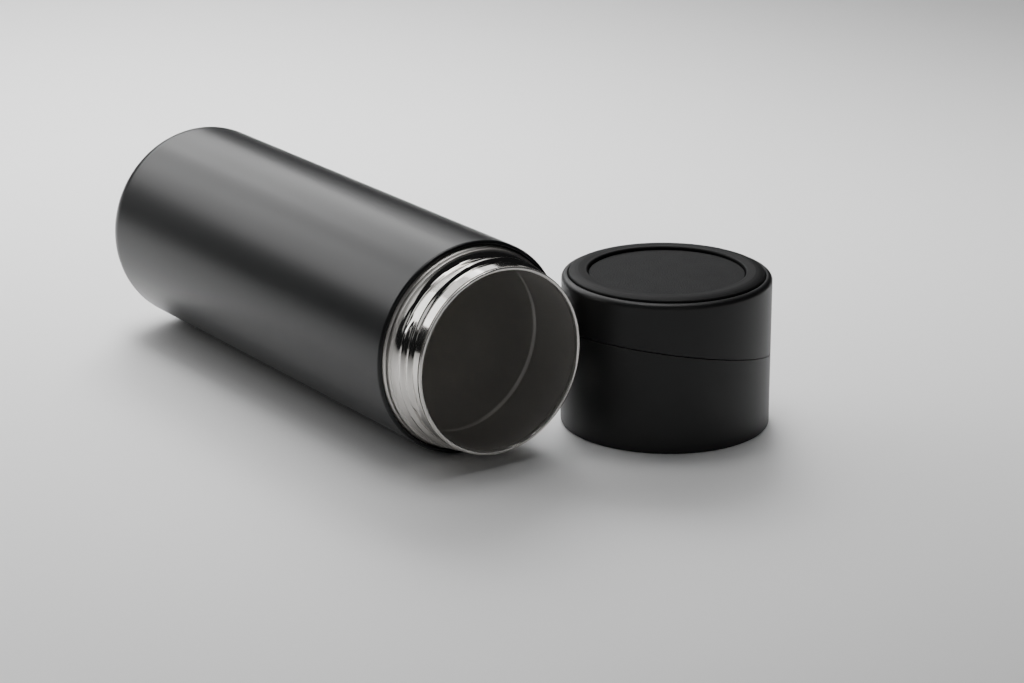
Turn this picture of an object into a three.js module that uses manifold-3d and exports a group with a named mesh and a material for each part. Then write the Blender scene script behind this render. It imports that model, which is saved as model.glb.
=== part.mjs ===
// Vacuum flask lying on its side, with its screw cap standing upright beside the mouth.
// Millimetres, +Z up. +X runs along the flask from its base to its mouth. The origin is on the
// table, under the centre of the whole object's box.
import * as THREE from 'three';
import { mergeVertices } from 'three/addons/utils/BufferGeometryUtils.js';
import Module from 'manifold-3d';

const wasm = await Module();
wasm.setup();

// ---- Driving dimensions ----
const segments = 48; // facets round the casings, the neck and the threads
const innerSegments = 32; // facets round the small and hidden pieces
const gap = 0.3; // assembly gap between neighbouring pieces

// Flask body, measured along its own axis from the base
const bodyRadius = 35;
const bodyLength = 179.5; // base to shoulder
const shellWall = 0.8;
const baseCornerRadius = 9.5;
const lipRadius = 2; // rolled shoulder round the neck
const baseRecess = 2.4; // base plate above the standing ring
const basePlateThickness = 0.8;
const sealHoleRadius = 1.5;
const sealRadius = 4;
const sealThickness = 0.8;
const padEdge = 0.5; // chamfer round the base pad

// Neck and liner
const neckLength = 18.1; // shoulder to rim
const neckStep = 4.4; // the plain neck is this much smaller in radius than the body
const neckWall = 0.5;
const linerWall = 0.4;
const beadHeight = 0.9; // rolled rim over the neck's end
const beadRound = 0.35;
const collarTop = 4.4; // plain band beside the shoulder
const collarEdge = 0.4;
const neckFoot = 3; // neck ring inside the shell, below the shoulder
const ringDepth = 24; // pressed ring in the bore, below the rim
const ringHeight = 1.1;
const ringFlat = 0.5; // half the width of the ring's crown
const ringHalf = 1.6; // half the width of its foot
const linerStep = 0.5; // the bore is wider below the pressed ring
const linerFloor = 9.5; // underside of the liner above the base
const linerBaseWall = 0.6;
const linerBaseRound = 5;
const linerBaseSkirt = 3;

// Thread on the neck: two starts
const threadLead = 8;
const threadStarts = 2;
const threadFirst = 7.7; // centre of the ridge at its lower end, above the shoulder
const threadWrap = 245; // degrees
const threadHeight = 1.1;
const threadFoot = 3; // width at the root
const threadCrest = 1.2;
const threadPhase = 55; // degrees
const threadSink = 0.2; // a ridge's root inside the wall that carries it

// Vacuum space
const foilClearance = 1.3;
const foilWall = 0.4;
const foilStart = 26; // above the base
const foilEndRoom = 25.5; // foil to the shoulder
const getterRadius = 5;
const getterHeight = 2.6;

// Cap: its place beside the flask, and its two shells
const capX = 11.8; // cap axis, from the shoulder along the flask
const capApart = 0.4; // standing cap to the flask's side
const capSeat = 2.3; // underside above the shoulder when screwed home
const capFootRound = 0.6;
const capTurned = 66.27; // degrees, from the neck's thread to the standing cap's
const collarWall = 1.2;
const seamAboveDeck = 0.52; // low side of the slanting seam
const seamTilt = 12.3; // degrees
const seamDirection = -73.5; // degrees, towards the seam's high side
const seamGap = 0.35;

// Stopper
const skirtWall = 0.8;
const skirtFoot = 2.5;
const skirtClearance = 0.3; // neck thread crest to the sleeve
const innerThreadHeight = 1.05;
const innerThreadFoot = 1.8;
const innerThreadCrest = 0.9;
const innerThreadFrom = 50; // degrees past the start of each neck ridge
const innerThreadTo = 190;
const gasketHeight = 1.2;
const gasketWidth = 2.8;
const deckThickness = 2;
const deckEdge = 0.6;
const plugClearance = 1.5; // plug to the bore
const plugWall = 1.2;
const plugFoot = 7; // underside of the plug above the cap's underside
const plugRound = 2;
const flowRadius = 7;
const plugSealHeight = 2.4;
const plugSealProud = 1;
const plugSealSeat = 0.7;
const spigotWall = 1.4;
const spigotRise = 17.4; // pouring lip above the deck
const oRingHeight = 1.8;
const oRingProud = 0.3;
const oRingSeat = 0.9;
const oRingDrop = 4.2; // centre below the pouring lip
const seatPlay = 0.1; // seal to the sides of its groove

// Push button and valve
const buttonRadius = 12;
const buttonWall = 1.2;
const buttonDrop = 3; // button's top below the pouring lip
const buttonDome = 1.5;
const buttonTravel = 4;
const buttonSpare = 1.1; // pressed button to the deck
const guideWall = 1.4;
const guideHeight = 10;
const guideClearance = 0.4;
const stemRadius = 3;
const stemFlange = 1.2;
const valveOverlap = 2.4; // valve seal past the flow tube
const valveThickness = 1.6;
const springRadius = 8.6;
const springWire = 1.1;
const springTurns = 5;
const slotWidth = 5;
const slotHeight = 3.4;
const slotCount = 4;

// Lid
const lidWall = 1;
const lidCorner = 2.2;
const lidPlate = 1.3;
const lidRimWidth = 2; // outer rim beside the top ring
const lidHeadroom = 5.5; // pouring lip to the lid's ceiling
const topRecess = 2.7; // lid plate below the outer rim
const topRingWidth = 6.3;
const topRingRise = 1.4; // crown above the outer rim
const topDiscRise = 0.2;
const lidLinerWall = 0.8;
const lidLinerPlate = 1.2;
const lidFoamHeight = 1.7;

// ---- Sizes worked out from them ----
const neckRadius = bodyRadius - neckStep; // outside of the plain neck
const neckInner = neckRadius - neckWall;
const crestRadius = neckRadius + threadHeight;
const rimHeight = bodyLength + neckLength;
const linerOuter = neckInner - gap;
const boreRadius = linerOuter - linerWall;
const lipFoot = bodyRadius - lipRadius; // inner edge of the rolled shoulder
const baseFoot = bodyRadius - baseCornerRadius; // standing ring
const skirtInner = crestRadius + skirtClearance;
const skirtOuter = skirtInner + skirtWall;
const collarInner = skirtOuter + gap;
const capRadius = collarInner + collarWall;
const gasketFoot = neckLength - capSeat + gap; // just over the rim of the closed flask
const deckFoot = gasketFoot + gasketHeight + gap;
const deckTop = deckFoot + deckThickness;
const plugRadius = boreRadius - plugClearance;
const plugSeat = plugRadius - plugSealSeat;
const plugTop = deckFoot - gap;
const sealMiddle = (plugFoot + plugTop) / 2;
const seamHeight = deckTop + seamAboveDeck + capRadius * Math.tan((seamTilt * Math.PI) / 180);
const lidInner = capRadius - lidWall;
const lidLinerOuter = lidInner - gap;
const lidLinerInner = lidLinerOuter - lidLinerWall;
const spigotRadius = lidLinerInner - gap - oRingProud;
const spigotTop = deckTop + spigotRise;
const oRingMiddle = spigotTop - oRingDrop;
const lidCeiling = spigotTop + lidHeadroom;
const lidFoamFoot = lidCeiling + lidLinerPlate + gap;
const lidPlateFoot = lidFoamFoot + lidFoamHeight + gap;
const lidPlateTop = lidPlateFoot + lidPlate;
const capHeight = lidPlateTop + topRecess; // underside to the lid's outer rim
const guideInner = buttonRadius + guideClearance;
const guideOuter = guideInner + guideWall;
const buttonTop = spigotTop - buttonDrop;
const buttonFoot = deckTop + buttonTravel + buttonSpare;
const buttonCeiling = buttonTop - buttonDome - buttonWall;
const stemTop = buttonCeiling - gap;
const valveTop = plugFoot - gap;
const valveRadius = flowRadius + valveOverlap;
const topRingOuter = capRadius - lidRimWidth - gap;
const topRingInner = topRingOuter - topRingWidth;

// ---- Materials ----
function finish(color, roughness, metalness) {
  return new THREE.MeshStandardMaterial({ color, roughness, metalness });
}
const blackCoat = finish(0x1b1c1e, 0.55, 0.1);
const steel = finish(0xb9b6b1, 0.2, 1);
const satinSteel = finish(0x6f6b66, 0.45, 1);
const blackPlastic = finish(0x161718, 0.5, 0);
const rubber = finish(0x222222, 0.8, 0);
const silicone = finish(0x9a9a98, 0.6, 0);
const foam = finish(0xe8e4da, 0.9, 0);
const foil = finish(0xb87346, 0.3, 1);

// ---- Shape helpers ----
// Points along an arc in the profile plane, angles in degrees.
function arc(r, z, radius, from, to, steps) {
  return Array.from({ length: steps + 1 }, (_, i) => {
    const a = THREE.MathUtils.degToRad(from + ((to - from) * i) / steps);
    return [r + radius * Math.cos(a), z + radius * Math.sin(a)];
  });
}

// A closed ring, or a disc whose profile starts and ends on the axis, turned about Z.
function turned(profile, facets = segments) {
  const points = profile.map(([r, z]) => new THREE.Vector2(r, z));
  if (THREE.ShapeUtils.area(points) < 0) points.reverse();
  points.push(points[0].clone());
  const geometry = new THREE.LatheGeometry(points, facets);
  geometry.rotateX(Math.PI / 2);
  return clean(geometry);
}

function rectangle(r0, r1, z0, z1) {
  return [[r0, z0], [r1, z0], [r1, z1], [r0, z1]];
}

function box(width, depth, height, x, y, z) {
  const geometry = new THREE.BoxGeometry(width, depth, height);
  geometry.translate(x, y, z);
  return clean(geometry);
}

// Position-only mesh with merged corners and no collapsed triangles.
function clean(geometry) {
  geometry.deleteAttribute('normal');
  geometry.deleteAttribute('uv');
  const merged = mergeVertices(geometry, 1e-4);
  const index = merged.index.array;
  const kept = [];
  for (let i = 0; i < index.length; i += 3) {
    const [a, b, c] = [index[i], index[i + 1], index[i + 2]];
    if (a !== b && b !== c && c !== a) kept.push(a, b, c);
  }
  merged.setIndex(kept);
  return merged;
}

function solid(geometry) {
  const vertProperties = new Float32Array(geometry.attributes.position.array);
  const triVerts = new Uint32Array(geometry.index.array);
  return new wasm.Manifold(new wasm.Mesh({ numProp: 3, vertProperties, triVerts }));
}

function geometryOf(body) {
  const mesh = body.getMesh();
  const geometry = new THREE.BufferGeometry();
  const position = new THREE.BufferAttribute(new Float32Array(mesh.vertProperties), 3);
  geometry.setAttribute('position', position);
  geometry.setIndex(Array.from(mesh.triVerts));
  return geometry;
}

function named(name, geometry, material) {
  const mesh = new THREE.Mesh(geometry, material);
  mesh.name = name;
  return mesh;
}

// A thread ridge: a four-sided section, [radius, offset along the axis], swept along a helix.
function ridge(section, lead, start, fromAngle, toAngle) {
  const steps = Math.ceil(((toAngle - fromAngle) / 360) * segments);
  const positions = [];
  for (let i = 0; i <= steps; i += 1) {
    const turn = fromAngle + ((toAngle - fromAngle) * i) / steps;
    const angle = THREE.MathUtils.degToRad(turn);
    const centre = start + (lead * (turn - fromAngle)) / 360;
    const fade = Math.min(1, (4 * Math.min(i, steps - i)) / steps + 0.25);
    section.forEach(([r, z]) => {
      const radius = section[0][0] + (r - section[0][0]) * fade;
      positions.push(radius * Math.cos(angle), radius * Math.sin(angle), centre + z * fade);
    });
  }
  const index = [];
  const n = section.length;
  for (let i = 0; i < steps; i += 1) {
    for (let j = 0; j < n; j += 1) {
      const [a, b] = [i * n + j, i * n + ((j + 1) % n)];
      index.push(a, b, b + n, a, b + n, a + n);
    }
  }
  for (let j = 1; j < n - 1; j += 1) {
    index.push(0, j + 1, j);
    index.push(steps * n, steps * n + j, steps * n + j + 1);
  }
  const geometry = new THREE.BufferGeometry();
  geometry.setAttribute('position', new THREE.Float32BufferAttribute(positions, 3));
  geometry.setIndex(index);
  const body = solid(geometry);
  return body.volume() > 0 ? body : solid(flipped(geometry));
}

function flipped(geometry) {
  const index = Array.from(geometry.index.array);
  for (let i = 0; i < index.length; i += 3) {
    [index[i], index[i + 1]] = [index[i + 1], index[i]];
  }
  geometry.setIndex(index);
  return geometry;
}

// The half space above or below the cap's slanting seam, as a big block.
function besideSeam(above, offset) {
  const size = 4 * capRadius;
  const geometry = new THREE.BoxGeometry(size, size, size);
  geometry.translate(0, 0, above ? size / 2 : -size / 2);
  geometry.rotateY(THREE.MathUtils.degToRad(-seamTilt));
  geometry.rotateZ(THREE.MathUtils.degToRad(seamDirection));
  geometry.translate(0, 0, seamHeight + offset);
  return solid(clean(geometry));
}

// ---- Flask ----
function outerShell() {
  const inner = baseCornerRadius - shellWall;
  const profile = [
    ...arc(baseFoot, baseCornerRadius, baseCornerRadius, -90, 0, 6),
    ...arc(lipFoot, bodyLength, lipRadius, 0, 90, 4),
    [lipFoot, bodyLength + lipRadius - shellWall],
    ...arc(lipFoot, bodyLength, lipRadius - shellWall, 70, 0, 2),
    ...arc(baseFoot, baseCornerRadius, inner, 0, -90, 4),
  ];
  return turned(profile);
}

function neckRing() {
  const collar = lipFoot - gap;
  const low = bodyLength - neckFoot;
  const band = bodyLength + collarTop;
  const top = rimHeight - beadHeight - gap;
  const profile = [
    [neckInner, low],
    [collar, low],
    [collar, band - collarEdge],
    [collar - collarEdge, band],
    [neckRadius, band + collarEdge],
    [neckRadius, top],
    [neckInner, top],
  ];
  const root = neckRadius - threadSink;
  const shoulder = crestRadius - 0.3;
  const half = threadFoot / 2;
  const section = [
    [root, -half],
    [shoulder, -half + 0.5],
    [crestRadius, -threadCrest / 2],
    [crestRadius, threadCrest / 2],
    [shoulder, half - 0.5],
    [root, half],
  ];
  let body = solid(turned(profile));
  for (let k = 0; k < threadStarts; k += 1) {
    const from = threadPhase + (360 * k) / threadStarts;
    const start = bodyLength + threadFirst;
    body = body.add(ridge(section, threadLead, start, from, from + threadWrap));
  }
  return geometryOf(body);
}

function innerLiner() {
  const wide = boreRadius + linerStep;
  const crown = wide + ringHeight;
  const ringZ = rimHeight - ringDepth;
  const bead = rimHeight - beadHeight;
  const round = rimHeight - beadRound;
  const profile = [
    [wide, linerFloor],
    [wide + linerWall, linerFloor],
    [wide + linerWall, ringZ - ringHalf],
    [crown + linerWall, ringZ - ringFlat],
    [crown + linerWall, ringZ + ringFlat],
    [linerOuter, ringZ + ringHalf],
    [linerOuter, bead],
    [neckRadius, bead],
    ...arc(neckRadius - beadRound, round, beadRound, 0, 90, 2),
    ...arc(boreRadius + beadRound, round, beadRound, 90, 180, 2),
    [boreRadius, bead],
    [boreRadius, ringZ + ringHalf],
    [crown, ringZ + ringFlat],
    [crown, ringZ - ringFlat],
    [wide, ringZ - ringHalf],
  ];
  return turned(profile);
}

function linerBase() {
  const radius = boreRadius + linerStep - gap;
  const foot = radius - linerBaseRound;
  const bend = linerFloor + linerBaseRound;
  const profile = [
    [0, linerFloor],
    ...arc(foot, bend, linerBaseRound, -90, 0, 3),
    [radius, bend + linerBaseSkirt],
    [radius - linerBaseWall, bend + linerBaseSkirt],
    ...arc(foot, bend, linerBaseRound - linerBaseWall, 0, -90, 3),
    [0, linerFloor + linerBaseWall],
  ];
  return turned(profile, innerSegments);
}

function basePlate() {
  const z = baseRecess;
  const profile = rectangle(sealHoleRadius, baseFoot - gap, z, z + basePlateThickness);
  return turned(profile, innerSegments);
}

function vacuumSeal() {
  const top = baseRecess - gap;
  return turned(rectangle(0, sealRadius, top - sealThickness, top), innerSegments);
}

function basePad() {
  const radius = baseFoot - gap;
  const pocket = sealRadius + gap;
  const top = baseRecess - 2 * gap;
  const profile = [
    [0, 0],
    [radius - padEdge, 0],
    [radius, padEdge],
    [radius, top],
    [pocket, top],
    [pocket, top - sealThickness],
    [0, top - sealThickness],
  ];
  return turned(profile, innerSegments);
}

function foilWrap() {
  const inside = boreRadius + linerStep + linerWall + foilClearance;
  const end = bodyLength - foilEndRoom;
  return turned(rectangle(inside, inside + foilWall, foilStart, end), innerSegments);
}

function getter() {
  const middle = (baseRecess + basePlateThickness + linerFloor) / 2;
  const half = getterHeight / 2;
  return turned(rectangle(0, getterRadius, middle - half, middle + half), innerSegments);
}

// ---- Cap, lower half: the stopper ----
function collarShell() {
  const round = capFootRound;
  const profile = [
    [collarInner, 0.3],
    [collarInner + 0.3, 0],
    ...arc(capRadius - round, round, round, -90, 0, 3),
    [capRadius, capHeight],
    [collarInner, capHeight],
  ];
  const body = solid(turned(profile)).subtract(besideSeam(true, -seamGap / 2));
  return geometryOf(body);
}

function stopperBody() {
  const profile = [
    [flowRadius, deckFoot],
    [skirtOuter, deckFoot],
    [skirtOuter, deckTop - deckEdge],
    [skirtOuter - deckEdge, deckTop],
    [guideOuter, deckTop],
    [guideOuter, deckTop + guideHeight],
    [guideInner, deckTop + guideHeight],
    [guideInner, deckTop],
    [flowRadius, deckTop],
  ];
  let body = solid(turned(profile, innerSegments));
  const band = rectangle(guideInner - 1, guideOuter + 1, deckTop, deckTop + slotHeight);
  const ring = solid(turned(band, innerSegments));
  const reach = 2 * guideOuter;
  for (let k = 0; k < slotCount; k += 1) {
    const slot = box(reach, slotWidth, slotHeight, reach / 2, 0, deckTop + slotHeight / 2);
    slot.rotateZ((2 * Math.PI * k) / slotCount);
    body = body.subtract(solid(slot).intersect(ring));
  }
  return geometryOf(body);
}

function threadSleeve() {
  let body = solid(turned(rectangle(skirtInner, skirtOuter, skirtFoot, deckFoot - gap)));
  const root = skirtInner + threadSink;
  const crest = skirtInner - innerThreadHeight;
  const section = [
    [root, -innerThreadFoot / 2],
    [root, innerThreadFoot / 2],
    [crest, innerThreadCrest / 2],
    [crest, -innerThreadCrest / 2],
  ];
  const below = threadLead / threadStarts / 2;
  const first = threadFirst - below - capSeat + (threadLead * innerThreadFrom) / 360;
  for (let k = 0; k < threadStarts; k += 1) {
    const turn = capTurned + threadPhase + (360 * k) / threadStarts;
    const from = turn + innerThreadFrom;
    const to = turn + innerThreadTo;
    body = body.add(ridge(section, threadLead, first, from, to));
  }
  return geometryOf(body);
}

function pourRing() {
  const inner = spigotRadius - spigotWall;
  const foot = deckTop + gap;
  const seat = spigotRadius - oRingSeat;
  const half = oRingHeight / 2 + seatPlay;
  const profile = [
    [inner, foot],
    [spigotRadius, foot],
    [spigotRadius, oRingMiddle - half],
    [seat, oRingMiddle - half],
    [seat, oRingMiddle + half],
    [spigotRadius, oRingMiddle + half],
    [spigotRadius, spigotTop - 0.5],
    [spigotRadius - 0.5, spigotTop],
    [inner + 0.3, spigotTop],
    [inner, spigotTop - 0.3],
  ];
  return turned(profile);
}

function rimGasket() {
  const outer = crestRadius - seatPlay;
  const profile = rectangle(outer - gasketWidth, outer, gasketFoot, gasketFoot + gasketHeight);
  return turned(profile, innerSegments);
}

function plugCup() {
  const floor = plugFoot + plugWall;
  const tube = flowRadius + plugWall;
  const half = plugSealHeight / 2 + seatPlay;
  const profile = [
    [flowRadius, plugFoot],
    ...arc(plugRadius - plugRound, plugFoot + plugRound, plugRound, -90, 0, 2),
    [plugRadius, sealMiddle - half],
    [plugSeat, sealMiddle - half],
    [plugSeat, sealMiddle + half],
    [plugRadius, sealMiddle + half],
    [plugRadius, plugTop],
    [plugSeat - plugWall, plugTop],
    [plugSeat - plugWall, floor],
    [tube, floor],
    [tube, plugTop],
    [flowRadius, plugTop],
  ];
  return turned(profile, innerSegments);
}

function plugSeal() {
  const seat = plugSeat + seatPlay;
  const lip = plugRadius + 0.2;
  const proud = plugRadius + plugSealProud;
  const half = plugSealHeight / 2;
  const profile = [
    [seat, sealMiddle - half],
    [lip, sealMiddle - half],
    [proud, sealMiddle - 0.3],
    [proud, sealMiddle + 0.3],
    [lip, sealMiddle + half],
    [seat, sealMiddle + half],
  ];
  return turned(profile, innerSegments);
}

function plugFoam() {
  const inside = flowRadius + plugWall + gap;
  const outside = plugSeat - plugWall - gap;
  const foot = plugFoot + plugWall + gap;
  return turned(rectangle(inside, outside, foot, plugTop - gap), innerSegments);
}

function lidORing() {
  const inside = spigotRadius - oRingSeat + gap;
  const outside = spigotRadius + oRingProud;
  const half = oRingHeight / 2;
  const centre = (inside + outside) / 2;
  const width = (outside - inside) / 2;
  const sides = 6;
  const profile = Array.from({ length: sides }, (_, i) => {
    const a = (2 * Math.PI * i) / sides;
    return [centre + width * Math.cos(a), oRingMiddle + half * Math.sin(a)];
  });
  return turned(profile, innerSegments);
}

// ---- Push button and valve ----
function pushButton() {
  const shoulder = buttonTop - buttonDome;
  const profile = [
    [0, buttonTop],
    [buttonRadius - 3, buttonTop - 0.3],
    ...arc(buttonRadius - 1, shoulder, 1, 90, 0, 2),
    [buttonRadius, buttonFoot],
    [buttonRadius - buttonWall, buttonFoot],
    [buttonRadius - buttonWall, buttonCeiling],
    [0, buttonCeiling],
  ];
  return turned(profile, innerSegments);
}

function valveStem() {
  const foot = valveTop - valveThickness;
  const flange = springRadius + springWire;
  const profile = [
    [0, foot],
    [stemRadius, foot],
    [stemRadius, stemTop - stemFlange],
    [flange, stemTop - stemFlange],
    [flange, stemTop],
    [0, stemTop],
  ];
  return turned(profile, innerSegments);
}

function valveSeal() {
  const foot = valveTop - valveThickness;
  const bore = stemRadius + gap;
  const profile = [
    [bore, foot],
    [valveRadius - 0.5, foot],
    [valveRadius, foot + 0.5],
    [valveRadius, valveTop],
    [bore, valveTop],
  ];
  return turned(profile, innerSegments);
}

function valveSpring() {
  const foot = deckTop + gap + springWire / 2;
  const top = stemTop - stemFlange - gap - springWire / 2;
  class Coil extends THREE.Curve {
    getPoint(t, target = new THREE.Vector3()) {
      const a = 2 * Math.PI * springTurns * t;
      const z = foot + (top - foot) * t;
      return target.set(springRadius * Math.cos(a), springRadius * Math.sin(a), z);
    }
  }
  const sides = 6;
  const section = new THREE.Shape(Array.from({ length: sides }, (_, i) => {
    const a = (2 * Math.PI * i) / sides;
    return new THREE.Vector2((springWire / 2) * Math.cos(a), (springWire / 2) * Math.sin(a));
  }));
  const options = { steps: springTurns * 12, extrudePath: new Coil(), bevelEnabled: false };
  return clean(new THREE.ExtrudeGeometry(section, options));
}

// ---- Cap, upper half: the lid ----
function lidShell() {
  const rim = capRadius - lidRimWidth;
  const profile = [
    [capRadius, 0],
    ...arc(capRadius - lidCorner, capHeight - lidCorner, lidCorner, 0, 80, 4),
    [rim + 0.2, capHeight],
    [rim, capHeight - 0.2],
    [rim, lidPlateTop],
    [0, lidPlateTop],
    [0, lidPlateFoot],
    [lidInner, lidPlateFoot],
    [lidInner, 0],
  ];
  const body = solid(turned(profile)).subtract(besideSeam(false, seamGap / 2));
  return geometryOf(body);
}

function lidLiner() {
  const profile = [
    [lidLinerInner, 0],
    [lidLinerOuter, 0],
    [lidLinerOuter, lidCeiling + lidLinerPlate],
    [0, lidCeiling + lidLinerPlate],
    [0, lidCeiling],
    [lidLinerInner, lidCeiling],
  ];
  const body = solid(turned(profile)).subtract(besideSeam(false, seamGap));
  return geometryOf(body);
}

function lidFoam() {
  const profile = rectangle(0, lidLinerOuter, lidFoamFoot, lidFoamFoot + lidFoamHeight);
  return turned(profile, innerSegments);
}

function topRing() {
  const foot = lidPlateTop + gap;
  const middle = (topRingInner + topRingOuter) / 2;
  const profile = [
    [topRingInner, foot],
    [topRingOuter, foot],
    [topRingOuter, capHeight - 0.1],
    [topRingOuter - 0.5, capHeight + 0.6 * topRingRise],
    [topRingOuter - 1.4, capHeight + 0.9 * topRingRise],
    [middle, capHeight + topRingRise],
    [topRingInner + 1.2, capHeight + 0.92 * topRingRise],
    [topRingInner + 0.3, capHeight + 0.7 * topRingRise],
    [topRingInner, capHeight + 0.4 * topRingRise],
  ];
  return turned(profile);
}

function topDisc() {
  const radius = topRingInner - gap;
  const top = capHeight + topDiscRise;
  return turned([
    [0, lidPlateTop + gap],
    [radius, lidPlateTop + gap],
    [radius, top - 0.3],
    [radius - 0.3, top],
    [0, top],
  ]);
}

// ---- Assembly ----
const flask = new THREE.Group();
flask.add(
  named('outer_shell', outerShell(), blackCoat),
  named('neck_ring', neckRing(), steel),
  named('inner_liner', innerLiner(), satinSteel),
  named('liner_base', linerBase(), satinSteel),
  named('base_plate', basePlate(), steel),
  named('vacuum_seal', vacuumSeal(), silicone),
  named('base_pad', basePad(), rubber),
  named('foil_wrap', foilWrap(), foil),
  named('getter', getter(), silicone),
);
flask.rotation.y = Math.PI / 2;

const cap = new THREE.Group();
cap.add(
  named('collar_shell', collarShell(), blackCoat),
  named('stopper_body', stopperBody(), blackPlastic),
  named('thread_sleeve', threadSleeve(), blackPlastic),
  named('pour_ring', pourRing(), blackPlastic),
  named('rim_gasket', rimGasket(), silicone),
  named('plug_cup', plugCup(), blackPlastic),
  named('plug_seal', plugSeal(), silicone),
  named('plug_foam', plugFoam(), foam),
  named('lid_o_ring', lidORing(), silicone),
  named('push_button', pushButton(), blackPlastic),
  named('valve_stem', valveStem(), blackPlastic),
  named('valve_seal', valveSeal(), silicone),
  named('valve_spring', valveSpring(), steel),
  named('lid_shell', lidShell(), blackCoat),
  named('lid_liner', lidLiner(), blackPlastic),
  named('lid_foam', lidFoam(), foam),
  named('top_ring', topRing(), blackPlastic),
  named('top_disc', topDisc(), rubber),
);

// The whole object's box, with the flask's base at x = 0 and its axis at y = 0.
const capY = bodyRadius + capApart + capRadius;
const farX = Math.max(rimHeight, bodyLength + capX + capRadius);
const farY = capY + capRadius;
flask.position.set(-farX / 2, (bodyRadius - farY) / 2, bodyRadius);
cap.position.set(flask.position.x + bodyLength + capX, flask.position.y + capY, 0);

const part = new THREE.Group();
part.add(flask, cap);
export default part;
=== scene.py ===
import math

import bmesh
import bpy
import numpy as np
from mathutils import Matrix, Vector


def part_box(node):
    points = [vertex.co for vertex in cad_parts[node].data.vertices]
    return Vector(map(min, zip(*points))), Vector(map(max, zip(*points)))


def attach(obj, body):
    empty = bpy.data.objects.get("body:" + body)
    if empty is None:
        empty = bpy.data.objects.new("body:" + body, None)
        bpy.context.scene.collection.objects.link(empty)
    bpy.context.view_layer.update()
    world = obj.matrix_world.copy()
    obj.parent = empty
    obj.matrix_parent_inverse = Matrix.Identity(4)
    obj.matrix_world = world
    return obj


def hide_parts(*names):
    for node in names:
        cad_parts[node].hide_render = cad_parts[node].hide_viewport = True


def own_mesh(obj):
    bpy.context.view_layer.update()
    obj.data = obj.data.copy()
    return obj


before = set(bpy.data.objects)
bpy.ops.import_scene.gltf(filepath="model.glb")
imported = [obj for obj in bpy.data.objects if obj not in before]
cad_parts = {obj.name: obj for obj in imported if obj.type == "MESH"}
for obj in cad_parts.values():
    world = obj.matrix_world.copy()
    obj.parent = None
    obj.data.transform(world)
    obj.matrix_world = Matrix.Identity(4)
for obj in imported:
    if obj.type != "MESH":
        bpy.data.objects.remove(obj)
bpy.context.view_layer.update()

# ---- The studio ----
# A pale table, lit by a bank of softbox panels behind it and to the left, and by smaller lamps
# over the table. The near side of the room is left dark, so the black pieces keep deep shades.


class Field:
    """A node's output that takes part in sums: 1 - mask adds the Math node that works it out."""

    def __init__(self, net, out):
        self.net, self.out = net, out

    def sum(self, operation, a, b):
        return self.net.node("ShaderNodeMath", {"operation": operation}, {0: a, 1: b})

    def __add__(self, other):
        return self.sum("ADD", self, other)

    def __sub__(self, other):
        return self.sum("SUBTRACT", self, other)

    def __rsub__(self, other):
        return self.sum("SUBTRACT", other, self)

    def __mul__(self, other):
        return self.sum("MULTIPLY", self, other)

    def __truediv__(self, other):
        return self.sum("DIVIDE", self, other)

    def __mod__(self, other):
        return self.sum("FLOORED_MODULO", self, other)

    def __rtruediv__(self, other):
        return self.sum("DIVIDE", other, self)

    __radd__ = __add__
    __rmul__ = __mul__


class Net:
    """A node tree, with the one way in which nodes are added to it."""

    def __init__(self, tree):
        self.tree = tree
        tree.nodes.clear()

    def node(self, kind, settings=None, sockets=None, out=0):
        made = self.tree.nodes.new(kind)
        for key, value in (settings or {}).items():
            setattr(made, key, value)
        for key, value in (sockets or {}).items():
            if isinstance(value, Field):
                self.tree.links.new(value.out, made.inputs[key])
            else:
                made.inputs[key].default_value = value
        return Field(self, made.outputs[out]) if made.outputs else None


def finish(name, fixed, changing=None):
    """A material: fixed socket values, and those that changing(net) works out over the surface."""
    material = bpy.data.materials.new(name)
    material.use_nodes = True
    net = Net(material.node_tree)
    sockets = {**fixed, **(changing(net) if changing else {})}
    shader = net.node("ShaderNodeBsdfPrincipled", None, sockets)
    net.node("ShaderNodeOutputMaterial", None, {"Surface": shader})
    return material


def place(net):
    return net.node("ShaderNodeTexCoord", None, None, "Object")


def noise(net, where, scale, detail=2.0):
    sockets = {"Vector": where, "Scale": scale, "Detail": detail}
    return net.node("ShaderNodeTexNoise", None, sockets)


def bump(net, height, depth, strength=1.0):
    """A Bump node's normal for a height from 0 to 1, which stands for depth in metres."""
    sockets = {"Height": height, "Distance": depth, "Strength": strength}
    return net.node("ShaderNodeBump", None, sockets)


def table_top(net):
    spots = noise(net, place(net), 900.0)
    return {"Normal": bump(net, spots, 0.00004, 0.5)}


table_half = 6.0
table_mesh = bpy.data.meshes.new("table")
table_mesh.from_pydata(
    [
        (-table_half, -table_half, 0),
        (table_half, -table_half, 0),
        (table_half, table_half, 0),
        (-table_half, table_half, 0),
    ],
    [],
    [(0, 1, 2, 3)],
)
table = bpy.data.objects.new("table", table_mesh)
bpy.context.scene.collection.objects.link(table)
table_mesh.materials.append(
    finish("table_top", {"Base Color": (0.80, 0.80, 0.80, 1), "Roughness": 0.6}, table_top)
)


def softbox(name, at, towards, size, strength, spread=180):
    light = bpy.data.lights.new(name, "AREA")
    light.shape = "RECTANGLE"
    light.size, light.size_y = size
    light.energy = strength
    light.spread = math.radians(spread)
    lamp = bpy.data.objects.new(name, light)
    lamp.location = at
    aim = Vector(towards) - Vector(at)
    lamp.rotation_euler = aim.to_track_quat("-Z", "Y").to_euler()
    bpy.context.scene.collection.objects.link(lamp)


panel_distance, overhead_distance = 2.0, 1.8
lower_row, upper_row = 28, 46


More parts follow.
